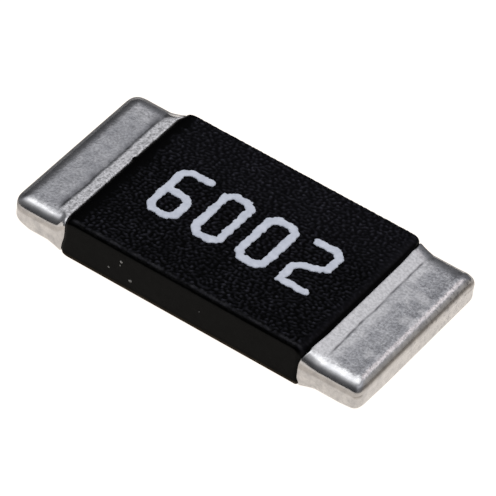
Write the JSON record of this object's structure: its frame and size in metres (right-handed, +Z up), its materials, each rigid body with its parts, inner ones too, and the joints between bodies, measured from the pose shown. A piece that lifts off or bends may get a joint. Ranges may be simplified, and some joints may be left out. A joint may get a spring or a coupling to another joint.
{
  "type": "chip resistor",
  "caption": "Flat surface-mount current-sense resistor: black coated body with a plain printed number on top and a wide plated solder terminal at each end.",
  "frame": {"origin": "centre of the footprint, on the plane that the coat's underside rests on", "axes": "+X along the length towards the end of the printed number, +Y across the width towards the top of the figures, +Z up out of the printed face"},
  "size_m": [0.0064, 0.0032, 0.0007],
  "materials": {
    "alloy": "plain",
    "plated_copper": "satin",
    "coat": "pebbled",
    "ink": "matte"
  },
  "bodies": {
    "root": {"resistive_strip": "alloy", "left_terminal": "plated_copper", "right_terminal": "plated_copper", "epoxy_coat": "coat", "printed_number": "ink"}
  },
  "joints": []
}
